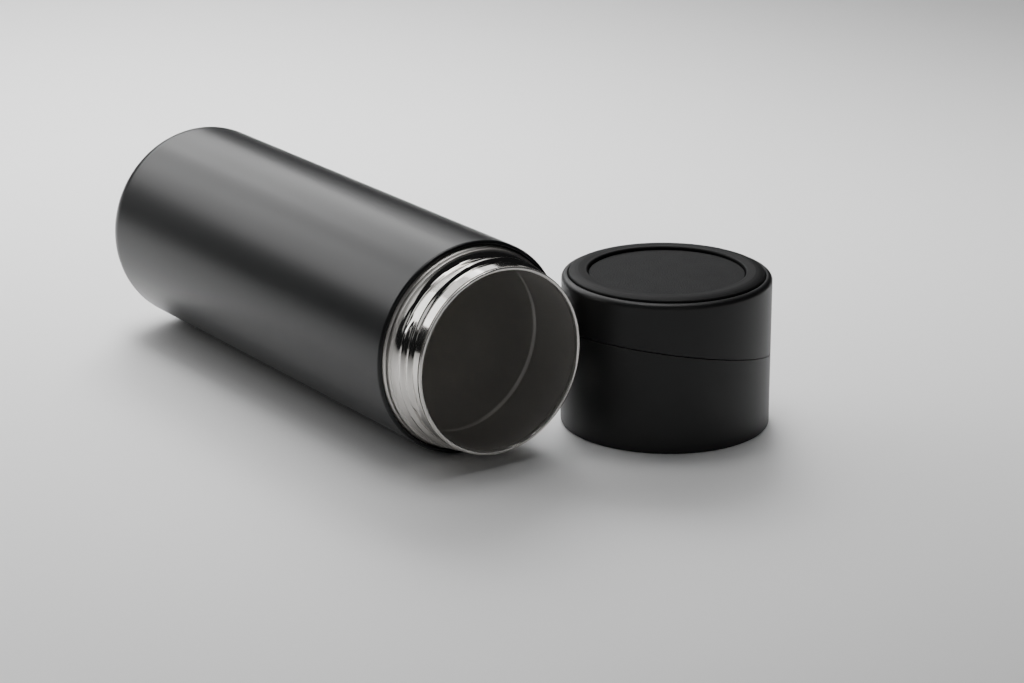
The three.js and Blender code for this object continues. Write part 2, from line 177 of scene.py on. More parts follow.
def panel(turn, height, distance, size, strength):
    """A softbox panel facing the table's middle, placed by its bearing and height in degrees."""
    a, e = math.radians(turn), math.radians(height)
    middle = Vector((0, 0, 0.03))
    ray = Vector((math.cos(e) * math.cos(a), math.cos(e) * math.sin(a), math.sin(e)))
    softbox(f"panel_{turn}_{height}", middle + ray * distance, middle, size, strength)


for turn, low, high in (
    (145, 2.3, 1.9),
    (165, 5.2, 1.2),
    (185, 4.3, 1.4),
    (205, 4.0, 1.2),
    (225, 3.3, 1.5),
):
    panel(turn, lower_row, panel_distance, (0.70, 0.62), low)
    panel(turn, upper_row, panel_distance, (0.54, 0.62), high)
panel(205, 10, panel_distance, (0.72, 0.62), 0.7)
panel(180, 68, overhead_distance, (0.9, 0.7), 3.2)
panel(340, 25, panel_distance, (0.9, 0.62), 1.6)
panel(290, 25, panel_distance, (0.9, 0.62), 0.8)

lamp_height, lamp_spread = 0.9, 50
back_step = Vector((-0.52, 0.37, 0.64))  # from the lit spot to the lamp behind it
overhead_share, back_share = 0.36, 0.54
for name, x, y, strength in (
    ("pool_far", -0.42, 0.05, 1.7),
    ("pool_mid", -0.17, 0.05, 0.9),
    ("pool_near", 0.05, -0.22, 0.35),
    ("pool_side", 0.05, 0.32, 0.8),
):
    lit = Vector((x, y, 0.0))
    over = (x, y, lamp_height)
    softbox(name, over, lit, (0.3, 0.3), overhead_share * strength, lamp_spread)
    back = f"{name}_back"
    softbox(back, lit + back_step, lit, (0.5, 0.5), back_share * strength, lamp_spread)
    bpy.data.objects[back].visible_glossy = False
room = bpy.data.worlds.new("room")
bpy.context.scene.world = room
room.use_nodes = True
room_net = Net(room.node_tree)
glow = room_net.node(
    "ShaderNodeBackground", None, {"Color": (0.6, 0.62, 0.65, 1), "Strength": 0.02}
)
room_net.node("ShaderNodeOutputWorld", None, {"Surface": glow})

camera_at = Vector((0.81956, -0.54259, 0.34256))
heading = (-0.8204, 0.5718)
pitch = math.radians(18.615)
looks = Vector(
    (heading[0] * math.cos(pitch), heading[1] * math.cos(pitch), -math.sin(pitch))
)
lens = bpy.data.cameras.new("camera")
lens.lens = 106.36
lens.sensor_width = 36.0
camera = bpy.data.objects.new("camera", lens)
camera.location = camera_at
camera.rotation_euler = looks.to_track_quat("-Z", "Y").to_euler()
bpy.context.scene.collection.objects.link(camera)
bpy.context.scene.camera = camera

# ---- Flask body ----
# The outer wall is one drawn steel shell, closed round the base corner and rolled in at the
# shoulder. It has a satin black powder coat with a very fine grain.

MM = 0.001


def arc(radius_at, height_at, radius, start, end, steps):
    """Points of a circular arc in a turned profile, in degrees, as (radius, height)."""
    turns = [math.radians(start + (end - start) * i / steps) for i in range(steps + 1)]
    return [
        (radius_at + radius * math.cos(a), height_at + radius * math.sin(a))
        for a in turns
    ]


def rounded(points, steps=4):
    """The outline with each corner given as (radius, height, fillet) rounded off."""
    outline = []
    for i, point in enumerate(points):
        fillet = point[2] if len(point) > 2 else 0
        here = Vector(point[:2])
        if not fillet:
            outline.append(tuple(here))
            continue
        back = (Vector(points[i - 1][:2]) - here).normalized()
        ahead = (Vector(points[(i + 1) % len(points)][:2]) - here).normalized()
        inside = back.angle(ahead)
        reach = fillet / math.tan(inside / 2)
        centre = here + (back + ahead).normalized() * fillet / math.sin(inside / 2)
        first, last = here + back * reach - centre, here + ahead * reach - centre
        sweep = first.angle(last)
        for k in range(steps + 1):
            part = k / steps
            mix = first * math.sin((1 - part) * sweep) + last * math.sin(part * sweep)
            outline.append(tuple(centre + mix / math.sin(sweep)))
    return outline


def held(outline, hold=0.12):
    """The outline with a point close to each end of its long edges, so flats shade flat."""
    points = []
    for i, point in enumerate(outline):
        a, b = Vector(point), Vector(outline[(i + 1) % len(outline)])
        length = (b - a).length
        points.append(tuple(a))
        if length > 6 * hold and max(a.x, b.x) > 1e-6:
            points.append(tuple(a.lerp(b, hold / length)))
            points.append(tuple(b.lerp(a, hold / length)))
    return points


def turned(name, profile, spot, turns=256):
    """A turned piece on the matrix spot. profile is a closed outline in millimetres, or a
    function of the angle that gives one; it may run along the axis, where nothing is made."""
    angles = np.arange(turns) * 2 * math.pi / turns
    if isinstance(profile, list):
        rows = np.array([held(profile)] * turns)
    else:
        rows = np.array([held(profile(a)) for a in angles])
    r, h = rows[..., 0], rows[..., 1]
    points = np.stack([r * np.cos(angles)[:, None], r * np.sin(angles)[:, None], h], -1)
    outwards = np.sum(r[0] * np.roll(h[0], -1) - np.roll(r[0], -1) * h[0]) > 0
    count = rows.shape[1]
    faces = []
    for k in range(count):
        m = (k + 1) % count
        if r[0, k] < 1e-6 and r[0, m] < 1e-6:
            continue
        for i in range(turns):
            j = (i + 1) % turns
            face = [i * count + k, j * count + k, j * count + m, i * count + m]
            faces.append(face if outwards else face[::-1])
    mesh = bpy.data.meshes.new(name)
    mesh.from_pydata(points.reshape(-1, 3) * MM, [], faces)
    mend = bmesh.new()
    mend.from_mesh(mesh)
    bmesh.ops.remove_doubles(mend, verts=mend.verts, dist=1e-7)
    loose = [v for v in mend.verts if not v.link_faces]
    bmesh.ops.delete(mend, geom=loose, context="VERTS")
    mend.to_mesh(mesh)
    mend.free()
    mesh.transform(spot)
    mesh.shade_smooth()
    mesh.set_sharp_from_angle(angle=math.radians(38))
    piece = bpy.data.objects.new(name, mesh)
    bpy.context.scene.collection.objects.link(piece)
    return piece


def fitted(piece, material, body, node):
    """Gives a finished piece its material and its CAD body, and hides the CAD part of that node,
    which the piece stands in for.
    """
    if not piece.data.materials:
        piece.data.materials.append(material)
    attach(piece, body)
    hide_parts(node)


body_radius, body_wall = 35.0, 0.8
base_corner = 9.5
lip_height, lip_radius = 180.2, 1.1
shell_low, shell_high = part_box("outer_shell")
flask_spot = Matrix.Translation(
    (
        shell_low.x,
        (shell_low.y + shell_high.y) / 2,
        (shell_low.z + shell_high.z) / 2,
    )
) @ Matrix.Rotation(math.radians(90), 4, "Y")


def powder_coat(net):
    grain = noise(net, place(net), 2600.0, 3.0)
    drift = noise(net, place(net), 14.0, 1.0)
    return {
        "Roughness": 0.26 + 0.04 * drift + 0.04 * grain,
        "Normal": bump(net, grain, 0.000012, 0.6),
    }


black_coat = finish(
    "black_powder_coat",
    {"Base Color": (0.0065, 0.0069, 0.0075, 1), "Specular IOR Level": 0.37},
    powder_coat,
)
fitted(
    turned(
        "flask_shell",
        [
            *arc(body_radius - base_corner, base_corner, base_corner, -90, 0, 28),
            *arc(body_radius - lip_radius, lip_height, lip_radius, 0, 90, 10),
            *arc(33.95, 181.05, 0.25, 90, 180, 3),
            (33.7, lip_height),
            (body_radius - body_wall, 179.2),
            *arc(
                body_radius - base_corner,
                base_corner,
                base_corner - body_wall,
                0,
                -90,
                14,
            ),
        ],
        flask_spot,
    ),
    black_coat,
    "flask",
    "outer_shell",
)

# ---- Base ----
# A pressed steel plate closes the vacuum space. Its evacuation hole is covered by a drop of
# sealant, and a rubber pad is glued over both, level with the standing ring.


def along_flask(net):
    """Two fields over the flask: height from the base and distance from the axis."""
    at = net.node(
        "ShaderNodeVectorMath",
        {"operation": "SUBTRACT"},
        {0: place(net), 1: tuple(flask_spot.translation)},
    )
    x, y, z = (net.node("ShaderNodeSeparateXYZ", None, {0: at}, k) for k in range(3))
    away = net.node("ShaderNodeMath", {"operation": "SQRT"}, {0: y * y + z * z})
    return x, away


def turned_steel(depth, low, high):
    """Polished steel's fine rings round the flask's axis."""

    def rings(net):
        x, away = along_flask(net)
        spot = net.node("ShaderNodeCombineXYZ", None, {"X": x, "Y": away})
        lines = noise(net, spot, 5200.0, 2.0)
        smears = noise(net, place(net), 60.0, 3.0)
        return {
            "Roughness": low + (high - low) * smears,
            "Normal": bump(net, lines, depth, 0.6),
        }

    return rings


satin_steel = finish(
    "satin_steel",
    {"Base Color": (0.56, 0.545, 0.52, 1), "Metallic": 1.0},
    turned_steel(0.000004, 0.26, 0.36),
)
fitted(
    turned(
        "base_plate",
        rounded([(1.5, 2.4, 0.15), (25.2, 2.4, 0.3), (25.2, 3.2, 0.15), (1.5, 3.2, 0.1)]),
        flask_spot,
    ),
    satin_steel,
    "flask",
    "base_plate",
)


def soft_grain(net):
    grain = noise(net, place(net), 1500.0, 3.0)
    return {"Normal": bump(net, grain, 0.00003, 0.5)}


silicone = finish(
    "grey_silicone",
    {"Base Color": (0.30, 0.30, 0.29, 1), "Roughness": 0.5},
    soft_grain,
)
fitted(
    turned(
        "vacuum_seal",
        rounded([(0.0, 1.3), (4.0, 1.3, 0.2), (4.0, 2.1, 0.2), (0.0, 2.1)]),
        flask_spot,
        96,
    ),
    silicone,
    "flask",
    "vacuum_seal",
)
black_rubber = finish(
    "black_rubber",
    {"Base Color": (0.014, 0.014, 0.015, 1), "Roughness": 0.62},
    soft_grain,
)
fitted(
    turned(
        "base_pad",
        [
            (0.0, 0.0),
            *rounded(
                [
                    (0.0, 0.0),
                    (25.2, 0.0, 0.5),
                    (25.2, 1.8, 0.2),
                    (4.3, 1.8),
                    (4.3, 1.0),
                ]
            )[1:],
            (0.0, 1.0),
        ],
        flask_spot,
    ),
    black_rubber,
    "flask",
    "base_pad",
)

# ---- Neck ring ----
# The steel neck is rolled from tube: a plain brushed band beside the shoulder, then a two-start
# thread pressed into the wall, polished on its crests.

neck_base = 179.5  # the shoulder, from the base
neck_radius, plain_band = 30.6, 32.52
thread_lead, thread_starts = 8.0, 2
thread_first = 7.7  # middle of a ridge at its lower end, above the shoulder
thread_phase, thread_wrap = 55, 245


def threaded(net_name):
    """The Geometry Nodes that press a thread with rounded ridges into a turned wall, outwards
    for a positive ridge height and inwards for a negative one."""
    crown = 0.6  # share of the crest that stays at full height
    wall_face = -0.0004  # vertices farther behind the wall's face than this are left alone
    tree = bpy.data.node_groups.new(net_name, "GeometryNodeTree")
    face = tree.interface
    face.new_socket("Geometry", in_out="INPUT", socket_type="NodeSocketGeometry")
    sizes = {
        "Wall Radius": 0.03,
        "Lead": 0.01,
        "Starts": 2.0,
        "First Height": 0.0,
        "Phase": 0.0,
        "Wrap": 3.0,
        "Ridge Height": 0.001,
        "Ridge Foot": 0.003,
        "Ridge Crest": 0.001,
        "Run Out": 0.3,
    }
    for key, value in sizes.items():
        made = face.new_socket(key, in_out="INPUT", socket_type="NodeSocketFloat")
        made.default_value = value
    face.new_socket("Finish", in_out="INPUT", socket_type="NodeSocketMaterial")
    face.new_socket("Geometry", in_out="OUTPUT", socket_type="NodeSocketGeometry")
    net = Net(tree)
    given = tree.nodes.new("NodeGroupInput")
    size = {key: Field(net, given.outputs[key]) for key in sizes}
    at = net.node("GeometryNodeInputPosition")
    x, y, z = (net.node("ShaderNodeSeparateXYZ", None, {0: at}, k) for k in range(3))
    radius = net.node("ShaderNodeMath", {"operation": "SQRT"}, {0: x * x + y * y})
    turn = net.node("ShaderNodeMath", {"operation": "ARCTAN2"}, {0: y, 1: x})
    span = 2 * math.pi / size["Starts"]
    rise = 0
    for start in range(thread_starts):
        gone = (turn - size["Phase"] - span * start) % (2 * math.pi)
        middle = size["First Height"] + size["Lead"] * gone / (2 * math.pi)
        off = net.node("ShaderNodeMath", {"operation": "ABSOLUTE"}, {0: z - middle})
        across = net.node(
            "ShaderNodeMapRange",
            {"interpolation_type": "SMOOTHSTEP"},
            {0: off, 1: size["Ridge Foot"] / 2, 2: size["Ridge Crest"] / 2 * crown},
        )
        begins = net.node(
            "ShaderNodeMapRange",
            {"interpolation_type": "SMOOTHSTEP"},
            {0: gone, 1: 0.0, 2: size["Run Out"]},
        )
        ends = net.node(
            "ShaderNodeMapRange",
            {"interpolation_type": "SMOOTHSTEP"},
            {0: gone, 1: size["Wrap"], 2: size["Wrap"] - size["Run Out"]},
        )
        rise = across * begins * ends + rise
    side = net.node("ShaderNodeMath", {"operation": "SIGN"}, {0: size["Ridge Height"]})
    lacking = (size["Wall Radius"] + rise * size["Ridge Height"] - radius) * side
    outwards = net.node("ShaderNodeMath", {"operation": "MAXIMUM"}, {0: lacking, 1: 0.0})
    on_wall = net.node(
        "ShaderNodeMath",
        {"operation": "GREATER_THAN"},
        {0: (radius - size["Wall Radius"]) * side, 1: wall_face},
    )
    push = outwards * side * on_wall / radius
    offset = net.node("ShaderNodeCombineXYZ", None, {"X": x * push, "Y": y * push})
    moved = net.node(
        "GeometryNodeSetPosition",
        None,
        {"Geometry": Field(net, given.outputs["Geometry"]), "Offset": offset},
    )
    real = net.node("GeometryNodeRealizeInstances", None, {"Geometry": moved})
    dressed = net.node(
        "GeometryNodeSetMaterial",
        None,
        {"Geometry": real, "Material": Field(net, given.outputs["Finish"])},
    )
    net.node("NodeGroupOutput", None, {0: dressed})
    return tree


def grown(piece, tree, values):
    """The plain mesh that a Geometry Nodes tree makes from the piece, which keeps its name."""
    modifier = piece.modifiers.new("shape", "NODES")
    modifier.node_group = tree
    for item in tree.interface.items_tree:
        if item.in_out == "INPUT" and item.name in values:
            modifier[item.identifier] = values[item.name]
    bpy.context.view_layer.update()
    seen = piece.evaluated_get(bpy.context.evaluated_depsgraph_get())
    mesh = bpy.data.meshes.new_from_object(seen)
    piece.modifiers.remove(modifier)
    piece.data = mesh
    return mesh


def settled(piece, spot, sharpest):
    """Moves a finished mesh to its place and shades it smooth, but for its sharp edges."""
    piece.data.transform(spot)
    piece.data.shade_smooth()
    piece.data.set_sharp_from_angle(angle=math.radians(sharpest))


def steps_up(radius, low, high, count):
    """A straight wall with enough points along it for the thread to be pressed in."""
    return [(radius, low + (high - low) * i / count) for i in range(count + 1)]


def foot_slope(radius, low, high, count=22):
    """The hollow slope from the plain band down to the threaded wall."""
    step = radius - neck_radius
    rest = [1 - i / count for i in range(1, count + 1)]
    return [(neck_radius + step * t * t, low + (high - low) * (1 - t)) for t in rest]


def run_out_groove(low, high, depth, count=24):
    """A rolled groove between thread and lip: a long fall, then a short rise."""
    deepest = 0.68
    outline = []
    for i in range(count + 1):
        t = i / count
        fall = t / deepest if t < deepest else (1 - t) / (1 - deepest)
        ease = fall * fall * (3 - 2 * fall)
        outline.append((neck_radius - depth * ease, low + (high - low) * t))
    return outline


def neck_steel(net):
    x, away = along_flask(net)
    spot = net.node("ShaderNodeCombineXYZ", None, {"X": x, "Y": away})
    lines = noise(net, spot, 6000.0, 2.0)
    smears = noise(net, place(net), 45.0, 3.0)
    band_ends = 0.1840
    band = net.node(
        "ShaderNodeMapRange",
        {"interpolation_type": "SMOOTHSTEP"},
        {0: x, 1: band_ends + 0.0002, 2: band_ends - 0.0002},
    )
    return {
        "Roughness": 0.07 + 0.05 * smears + 0.30 * band,
        "Normal": bump(net, lines * (1 + 2 * band), 0.000004, 0.5),
    }


polished_steel = finish(
    "polished_steel",
    {"Base Color": (0.66, 0.64, 0.61, 1), "Metallic": 1.0},
    neck_steel,
)
press_thread = threaded("pressed_thread")
neck = turned(
    "neck_ring",
    [
        (30.1, 176.5),
        (32.9, 176.5),
        (33.45, 179.0),
        *arc(33.1, 180.6, 0.4, 0, 55, 5),
        *rounded([(33.3, 180.9), (32.75, 181.7, 0.8), (32.75, 183.0)])[1:-1],
        *arc(32.4, 183.35, 0.35, 0, 60, 6),
        *foot_slope(plain_band, 183.7, 185.8),
        *steps_up(neck_radius, 185.9, 191.8, 58),
        *run_out_groove(191.9, 193.5, 0.35),
        *steps_up(neck_radius, 193.6, 196.1, 24),
        *arc(30.4, 196.2, 0.2, 0, 90, 4),
        (30.1, 196.4),
    ],
    Matrix.Identity(4),
    384,
)
grown(
    neck,
    press_thread,
    {
        "Wall Radius": neck_radius * MM,
        "Lead": thread_lead * MM,
        "Starts": float(thread_starts),
        "First Height": (neck_base + thread_first) * MM,
        "Phase": math.radians(thread_phase),
        "Wrap": math.radians(thread_wrap),
        "Ridge Height": 1.1 * MM,
        "Ridge Foot": 3.0 * MM,
        "Ridge Crest": 1.2 * MM,
        "Run Out": math.radians(16),
        "Finish": polished_steel,
    },
)
settled(neck, flask_spot, 38)
fitted(neck, polished_steel, "flask", "neck_ring")

# ---- Liner ----
# The bottle inside is drawn from thinner steel, with a ring pressed into its neck, and its rim is
# rolled outwards over the neck ring and welded. Its bottom is a separate dished cap.

rim = 197.6
ring_at = rim - 24.0
liner_low, liner_radius, liner_outer = 9.5, 29.9, 30.3
neck_bore, neck_outer = 29.4, 29.8


def bore_steel(net):
    """Polished on the rolled rim, brushed in the bore, with painted light: a base colour that
    grows paler inwards, standing in for the light that reaches the deep wall of the bore.
    """
    x, _ = along_flask(net)
    rolled_at, painted_light_starts, painted_light_full = 0.1967, 0.188, 0.120
    # Painted light: the bore's base colour runs from the mouth's steel tone to a paler one deeper
    # in, to light the deep wall.
    depth = net.node(
        "ShaderNodeMapRange",
        {"interpolation_type": "SMOOTHSTEP"},
        {0: x, 1: painted_light_starts, 2: painted_light_full},
    )
    painted_light_tone = net.node(
        "ShaderNodeMix",
        {"data_type": "RGBA"},
        {0: depth, 6: (0.60, 0.585, 0.56, 1), 7: (0.96, 0.94, 0.91, 1)},
        2,
    )
    polish = net.node(
        "ShaderNodeMapRange",
        {"interpolation_type": "SMOOTHSTEP"},
        {0: x, 1: rolled_at - 0.0012, 2: rolled_at - 0.0004},
    )
    brushed = turned_steel(0.000005, 0.42, 0.52)(net)
    whole_tone = net.node(
        "ShaderNodeMix",
        {"data_type": "RGBA"},
        {0: polish, 6: painted_light_tone, 7: (0.70, 0.68, 0.65, 1)},
        2,
    )
    return {
        "Base Color": whole_tone,
        "Roughness": brushed["Roughness"] * (1 - polish) + 0.10 * polish,
        "Normal": brushed["Normal"],
    }


liner_steel = finish("liner_steel", {"Metallic": 0.75}, bore_steel)


def pressed(narrow, wide, height, steps=18):
    """The wall over the pressed ring, from the wide bore below it to the narrow one above."""
    ring_half = 1.6
    outline = []
    for i in range(steps + 1):
        t = i / steps
        ease = t * t * (3 - 2 * t)
        swell = height * math.sin(math.pi * t) ** 2
        along = ring_at - ring_half + 2 * ring_half * t
        outline.append((wide + (narrow - wide) * ease + swell, along))
    return outline


fitted(
    turned(
        "liner",
        [
            (liner_outer, liner_low),
            *pressed(neck_outer, liner_outer, 1.0),
            (neck_outer, 196.6),
            (29.9, 196.7),
            (30.35, 196.7),
            *arc(30.15, 197.15, 0.45, -40, 90, 8),
            *arc(29.85, 197.15, 0.45, 90, 180, 6),
            *reversed(pressed(neck_bore, liner_radius, 1.0)),
            (liner_radius, liner_low),
        ],
        flask_spot,
    ),
    liner_steel,
    "flask",
    "inner_liner",
)
fitted(
    turned(
        "liner_base",
        [
            (0.0, liner_low),
            *arc(24.6, 14.5, 5.0, -90, 0, 12),
            (29.6, 17.5),
            (29.0, 17.5),
            *arc(24.6, 14.5, 4.4, 0, -90, 12),
            (0.0, 10.1),
        ],
        flask_spot,
    ),
    liner_steel,
    "flask",
    "liner_base",
)

# ---- Vacuum space ----
# A sheet of copper foil is wrapped round the liner against radiant heat, and a getter pellet
# held to the liner's floor keeps the vacuum. Both are out of sight between the walls.


def foil_creases(net):
    creases = noise(net, place(net), 160.0, 6.0)
    return {
        "Roughness": 0.22 + 0.2 * creases,
        "Normal": bump(net, creases, 0.0004, 0.5),
    }


foil = finish(
    "copper_foil",
    {"Base Color": (0.78, 0.42, 0.27, 1), "Metallic": 1.0},
    foil_creases,
)
pellet = finish(
    "getter_pellet",
    {"Base Color": (0.24, 0.235, 0.225, 1), "Roughness": 0.8, "Metallic": 0.3},
    soft_grain,
)
for node, material, slot in (
    ("foil_wrap", foil, "copper_foil"),
    ("getter", pellet, "silicone"),
):
    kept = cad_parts[node]
    kept.data.materials.clear()
    kept.data.materials.append(material)

# ---- Stopper ----
# The screw stopper is moulded in black plastic: a threaded sleeve and a deck joined by the
# pouring ring above, with silicone seals on the rim, the plug and the lid's spigot.

cap_low, cap_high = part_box("lid_shell")
cap_spot = Matrix.Translation(
    ((cap_low.x + cap_high.x) / 2, (cap_low.y + cap_high.y) / 2, 0.0)
)


cap_seat = 2.3  # the sleeve's foot over the shoulder, when the cap is home
cap_turned = 66.27  # degrees from the neck's thread to the standing cap's
sleeve_radius, deck_height = 32.0, 17.6
sleeve_from, sleeve_wrap = 50, 140  # the sleeve's ridges, past the start of the neck's
sleeve_first = thread_first - thread_lead / 4 - cap_seat + thread_lead * sleeve_from / 360


def moulded(net):
    grain = noise(net, place(net), 2200.0, 2.0)
    return {
        "Roughness": 0.40 + 0.08 * grain,
        "Normal": bump(net, grain, 0.000015, 0.5),
    }


black_plastic = finish(
    "black_plastic", {"Base Color": (0.011, 0.011, 0.012, 1)}, moulded
)
sleeve = turned(
    "thread_sleeve",
    [
        *steps_up(sleeve_radius, 17.2, 2.7, 96),
        (32.1, 2.5),
        (32.7, 2.5),
        (32.8, 2.6),
        (32.8, 17.3),
        (32.1, 17.3),
    ],
    Matrix.Identity(4),
    384,
)
grown(
    sleeve,
    press_thread,
    {
        "Wall Radius": sleeve_radius * MM,
        "Lead": thread_lead * MM,
        "Starts": float(thread_starts),
        "First Height": round(sleeve_first, 3) * MM,
        "Phase": math.radians(cap_turned + thread_phase + sleeve_from),
        "Wrap": math.radians(sleeve_wrap),
        "Ridge Height": -1.05 * MM,
        "Ridge Foot": 1.8 * MM,
        "Ridge Crest": 0.9 * MM,
        "Run Out": math.radians(8),
        "Finish": black_plastic,
    },
)
settled(sleeve, cap_spot, 38)
fitted(sleeve, black_plastic, "stopper", "thread_sleeve")

deck = turned(
    "stopper_deck",
    rounded(
        [
            (7.0, deck_height, 0.2),
            (32.8, deck_height, 0.2),
            (32.8, 19.6, 0.7),
            (13.8, 19.6),
            (13.8, 29.6, 0.5),
            (12.4, 29.6, 0.5),
            (12.4, 19.6),
            (7.0, 19.6, 0.3),
        ]
    ),
    Matrix.Identity(4),
    192,
)
slot_count = 4  # drain slots at the foot of the button's guide
slot_long, slot_wide, slot_high = 4.0, 5.0, 3.5
knife = bmesh.new()
for k in range(slot_count):
    slot_block = bmesh.ops.create_cube(knife, size=1.0)["verts"]
    shape = (
        Matrix.Rotation(2 * math.pi / slot_count * k, 4, "Z")
        @ Matrix.Translation((13.1 * MM, 0, 21.35 * MM))
        @ Matrix.Diagonal((slot_long * MM, slot_wide * MM, slot_high * MM, 1))
    )
    bmesh.ops.transform(knife, matrix=shape, verts=slot_block)
knife_mesh = bpy.data.meshes.new("slot_blocks")
knife.to_mesh(knife_mesh)
knife.free()
slots = bpy.data.objects.new("slot_blocks", knife_mesh)
bpy.context.scene.collection.objects.link(slots)
cut = deck.modifiers.new("slots", "BOOLEAN")
cut.object = slots
cut.operation = "DIFFERENCE"
cut.solver = "EXACT"
bpy.context.view_layer.update()
deck.data = bpy.data.meshes.new_from_object(
    deck.evaluated_get(bpy.context.evaluated_depsgraph_get())
)
deck.modifiers.clear()
bpy.data.objects.remove(slots)
settled(deck, cap_spot, 30)
fitted(deck, black_plastic, "stopper", "stopper_body")

for name, node, outline in (
    (
        "pouring_ring",
        "pour_ring",
        [
            (30.2, 19.9, 0.1),
            (31.6, 19.9, 0.1),
            (31.6, 31.8, 0.15),
            (30.7, 31.8, 0.1),
            (30.7, 33.8, 0.1),
            (31.6, 33.8, 0.15),
            (31.6, 37.0, 0.5),
            (30.2, 37.0, 0.5),
        ],
    ),
    (
        "plug",
        "plug_cup",
        [
            (7.0, 7.0, 0.3),
            (27.9, 7.0, 2.0),
            (27.9, 10.85, 0.15),
            (27.2, 10.85, 0.1),
            (27.2, 13.45, 0.1),
            (27.9, 13.45, 0.15),
            (27.9, 17.3, 0.15),
            (26.0, 17.3, 0.15),
            (26.0, 8.2, 0.3),
            (8.2, 8.2, 0.3),
            (8.2, 17.3, 0.15),
            (7.0, 17.3, 0.15),
        ],
    ),
):
    piece = turned(name, rounded(outline), cap_spot)
    fitted(piece, black_plastic, "stopper", node)

fitted(
    turned(
        "rim_gasket",
        rounded(
            [(28.8, 16.1, 0.3), (31.6, 16.1, 0.3), (31.6, 17.3, 0.3), (28.8, 17.3, 0.3)]
        ),
        cap_spot,
    ),
    silicone,
    "gasket",
    "rim_gasket",
)
fitted(
    turned(
        "plug_seal",
        rounded(
            [
                (27.3, 10.95, 0.1),
                (28.1, 10.95, 0.2),
                (28.9, 11.85, 0.2),
                (28.9, 12.45, 0.2),
                (28.1, 13.35, 0.2),
                (27.3, 13.35, 0.1),
            ]
        ),
        cap_spot,
    ),
    silicone,
    "stopper",
    "plug_seal",
)
cord_sides = 20
fitted(
    turned(
        "lid_o_ring",
        [
            (31.45 + 0.45 * math.cos(a), 32.8 + 0.9 * math.sin(a))
            for a in np.arange(cord_sides) * 2 * math.pi / cord_sides
        ],
        cap_spot,
    ),
    silicone,
    "stopper",
    "lid_o_ring",
)


def open_cells(net):
    cells = net.node(
        "ShaderNodeTexVoronoi", None, {"Vector": place(net), "Scale": 1400.0}
    )
    return {"Normal": bump(net, cells, 0.0003, 0.7)}


foam = finish(
    "white_foam", {"Base Color": (0.72, 0.70, 0.66, 1), "Roughness": 0.9}, open_cells
)
for node in ("plug_foam", "lid_foam"):
    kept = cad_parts[node]
    kept.data.materials.clear()
    kept.data.materials.append(foam)

# ---- Valve spring ----
# A coil of steel wire lifts the push button. It stands on the stopper's deck and closes up as the
# button goes down; the coil here is built at one fixed length and moves with the stopper.


def coiled(net_name):
    """The Geometry Nodes that sweep a wire along a helix."""
    tree = bpy.data.node_groups.new(net_name, "GeometryNodeTree")
    face = tree.interface
    face.new_socket("Geometry", in_out="INPUT", socket_type="NodeSocketGeometry")
    sizes = {"Coil Radius": 0.01, "Wire Radius": 0.001, "Turns": 5.0, "Rise": 0.01}
    for key, value in sizes.items():
        made = face.new_socket(key, in_out="INPUT", socket_type="NodeSocketFloat")
        made.default_value = value
    face.new_socket("Finish", in_out="INPUT", socket_type="NodeSocketMaterial")
    face.new_socket("Geometry", in_out="OUTPUT", socket_type="NodeSocketGeometry")
    net = Net(tree)
    given = tree.nodes.new("NodeGroupInput")
    size = {s.name: Field(net, s) for s in given.outputs if s.name}
    helix = net.node(
        "GeometryNodeCurveSpiral",
        None,
        {
            "Resolution": 48,
            "Rotations": size["Turns"],
            "Start Radius": size["Coil Radius"],
            "End Radius": size["Coil Radius"],
            "Height": size["Rise"],
        },
    )
    section = net.node(
        "GeometryNodeCurvePrimitiveCircle",
        None,
        {"Resolution": 14, "Radius": size["Wire Radius"]},
    )
    wire = net.node(
        "GeometryNodeCurveToMesh",
        None,
        {"Curve": helix, "Profile Curve": section, "Fill Caps": True},
    )
    smooth = net.node("GeometryNodeSetShadeSmooth", None, {0: wire})
    real = net.node("GeometryNodeRealizeInstances", None, {"Geometry": smooth})
    dressed = net.node(
        "GeometryNodeSetMaterial", None, {"Geometry": real, "Material": size["Finish"]}
    )
    net.node("NodeGroupOutput", None, {0: dressed})
    return tree


spring_wire = finish(
    "spring_wire",
    {"Base Color": (0.60, 0.59, 0.57, 1), "Metallic": 1.0, "Roughness": 0.25},
    soft_grain,
)
wire, spring_foot = 0.55, 19.9
spring = bpy.data.objects.new("valve_spring_coil", bpy.data.meshes.new("coil"))
bpy.context.scene.collection.objects.link(spring)
grown(
    spring,
    coiled("wire_coil"),
    {
        "Coil Radius": 8.6 * MM,
        "Wire Radius": wire * MM,
        "Turns": 5.0,
        "Rise": 8.5 * MM,
        "Finish": spring_wire,
    },
)
spring.data.transform(cap_spot @ Matrix.Translation((0, 0, (spring_foot + wire) * MM)))
fitted(spring, spring_wire, "stopper", "valve_spring")
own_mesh(spring)

# ---- Push button and valve ----
# Pressing the button opens the pouring valve: its stem passes down the flow tube and carries a
# flat silicone seal under the plug. Button and stem are moulded and snapped together.

